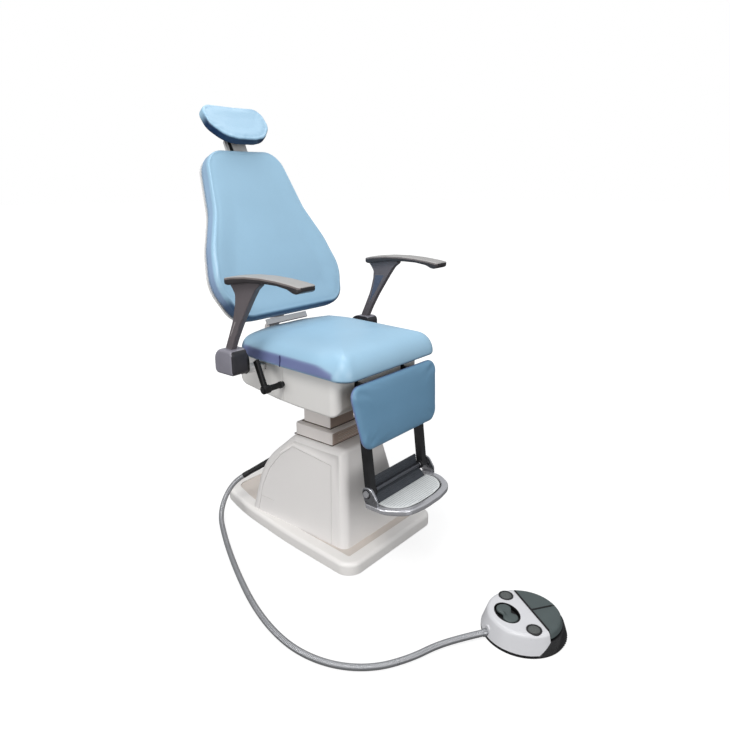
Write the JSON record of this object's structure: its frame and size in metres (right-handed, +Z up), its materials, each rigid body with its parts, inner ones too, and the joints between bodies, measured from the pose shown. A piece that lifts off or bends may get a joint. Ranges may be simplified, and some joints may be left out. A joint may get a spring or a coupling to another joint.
{
  "type": "ear nose and throat treatment chair",
  "caption": "Powered clinic chair on a lifting, swivelling column with reclining back, headrest, folding arms, raising leg rest with footplate, and a wired foot control.",
  "frame": {"origin": "on the floor, under the lift and swivel axis", "axes": "+Z up, the sitter faces -Y, the sitter's right is -X"},
  "size_m": [0.9169, 1.3637, 1.4197],
  "materials": {
    "vinyl_blue": "smooth wipe-clean vinyl, semi-gloss",
    "white_shell": "moulded cover, satin",
    "pedestal_shell": "moulded cover, satin",
    "base_shell": "moulded cover, satin ivory",
    "column_paint": "powder coat, off-white",
    "grey_plastic": "moulded, fine grain",
    "arm_pad_grey": "soft moulded skin",
    "housing_grey": "moulded, fine grain",
    "black_steel": "black powder coat",
    "steel": "machined",
    "bright_metal": "bright plated",
    "alu": "satin anodised",
    "dark_rubber": "ribbed",
    "tread_grey": "fine ribbed tread",
    "ply": "plywood",
    "black_plastic": "moulded",
    "hose_grey": "finely ribbed jacket",
    "control_white": "moulded",
    "control_dark": "soft moulded key"
  },
  "bodies": {
    "base": {"floor_plate": "black_steel", "base_cover": "base_shell", "pedestal_cover": "pedestal_shell", "side_panels": "pedestal_shell", "column_collar": "column_paint", "column_outer_tube": "steel", "glide_pads": "black_plastic", "lift_actuator_body": "black_steel", "power_unit": "black_plastic", "mains_inlet": "black_plastic", "hose_sleeve": "black_plastic", "control_hose": "hose_grey", "hose_bush": "black_plastic", "foot_control_base": "black_plastic", "foot_control_shell": "control_white"},
    "lift": {"column_inner_tube": "column_paint", "swivel_ring_lower": "steel", "lift_actuator_rod": "steel"},
    "seat": {"swivel_ring_upper": "steel", "seat_side_plates": "black_steel", "seat_cross_plate": "black_steel", "hinge_shafts": "steel", "seat_cover_front": "white_shell", "seat_cover_rear": "white_shell", "seat_board": "ply", "seat_cushion": "vinyl_blue", "armrest_carriers": "black_steel", "armrest_pins": "steel", "seat_drives": "black_plastic"},
    "lever": {"lock_lever_shaft": "black_steel", "lock_lever_arm": "black_steel"},
    "backrest": {"back_bracket": "column_paint", "back_panel": "ply", "back_shell": "white_shell", "back_cushion": "vinyl_blue", "headrest_socket": "alu"},
    "stem": {"headrest_stem": "column_paint", "headrest_pin": "steel"},
    "headrest": {"headrest_plate": "black_steel", "headrest_cushion": "vinyl_blue"},
    "arm_right": {"armrest_housing_right": "housing_grey", "armrest_post_right": "grey_plastic", "armrest_pad_right": "arm_pad_grey"},
    "arm_left": {"armrest_housing_left": "housing_grey", "armrest_post_left": "grey_plastic", "armrest_pad_left": "arm_pad_grey"},
    "legrest": {"legrest_bars": "black_steel", "legrest_board": "ply", "legrest_cushion": "vinyl_blue"},
    "footplate": {"footplate_axle": "steel", "footplate_trough": "dark_rubber", "footplate_tread": "tread_grey", "footplate_rim": "bright_metal", "footplate_caps": "alu", "footplate_bolts": "bright_metal"},
    "rocker": {"rocker_pad": "control_dark"},
    "button_rear": {"round_button_rear": "control_dark"},
    "button_front": {"round_button_front": "control_dark"},
    "pedal_r": {"pedal_rear": "control_dark"},
    "pedal_f": {"pedal_front": "control_dark"}
  },
  "joints": [
    {"name": "seat_lift", "type": "slide", "parent": "base", "child": "lift", "axis": [0, 0, 1], "range_m": [-0.1, 0.1]},
    {"name": "seat_swivel", "type": "hinge", "parent": "lift", "child": "seat", "pos_m": [0, 0, 0.518], "axis": [0, 0, 1], "range_deg": [-90, 90]},
    {"name": "back_recline", "type": "hinge", "parent": "seat", "child": "backrest", "pos_m": [0, 0.252, 0.598], "axis": [-1, 0, 0], "range_deg": [0, 60]},
    {"name": "headrest_height", "type": "slide", "parent": "backrest", "child": "stem", "axis": [0, 0.416, 0.9094], "range_m": [0, 0.09]},
    {"name": "headrest_tilt", "type": "hinge", "parent": "stem", "child": "headrest", "pos_m": [0, 0.43965, 1.33175], "axis": [-1, 0, 0], "range_deg": [-15, 6]},
    {"name": "armrest_right_fold", "type": "hinge", "parent": "seat", "child": "arm_right", "pos_m": [-0.323, 0.104, 0.65], "axis": [-1, 0, 0], "range_deg": [0, 90]},
    {"name": "armrest_left_fold", "type": "hinge", "parent": "seat", "child": "arm_left", "pos_m": [0.323, 0.104, 0.65], "axis": [-1, 0, 0], "range_deg": [0, 90]},
    {"name": "swivel_lock", "type": "hinge", "parent": "seat", "child": "lever", "pos_m": [-0.2, 0.005, 0.563], "axis": [1, 0, 0], "range_deg": [0, 30]},
    {"name": "legrest_raise", "type": "hinge", "parent": "seat", "child": "legrest", "pos_m": [0, -0.262, 0.585], "axis": [-1, 0, 0], "range_deg": [0, 70]},
    {"name": "footplate_fold", "type": "hinge", "parent": "legrest", "child": "footplate", "pos_m": [0, -0.2938, 0.262], "axis": [-1, 0, 0], "range_deg": [0, 75]},
    {"name": "rocker_tilt", "type": "hinge", "parent": "base", "child": "rocker", "pos_m": [-0.13017, -0.75805, 0.047], "axis": [0.8311, -0.5561, 0], "range_deg": [-5, 5], "stiffness_Nm_per_rad": 3},
    {"name": "button_rear_press", "type": "slide", "parent": "base", "child": "button_rear", "axis": [0, 0, -1], "range_m": [0, 0.003], "stiffness_N_per_m": 600, "springref_m": -0.002},
    {"name": "button_front_press", "type": "slide", "parent": "base", "child": "button_front", "axis": [0, 0, -1], "range_m": [0, 0.003], "stiffness_N_per_m": 600, "springref_m": -0.002},
    {"name": "pedal_rear_press", "type": "hinge", "parent": "base", "child": "pedal_r", "pos_m": [-0.05447, -0.76899, 0.048], "axis": [0.5561, 0.8311, 0], "range_deg": [0, 4], "stiffness_Nm_per_rad": 10, "springref_deg": -1.72},
    {"name": "pedal_front_press", "type": "hinge", "parent": "base", "child": "pedal_f", "pos_m": [-0.09896, -0.83548, 0.048], "axis": [0.5561, 0.8311, 0], "range_deg": [0, 4], "stiffness_Nm_per_rad": 10, "springref_deg": -1.72}
  ]
}
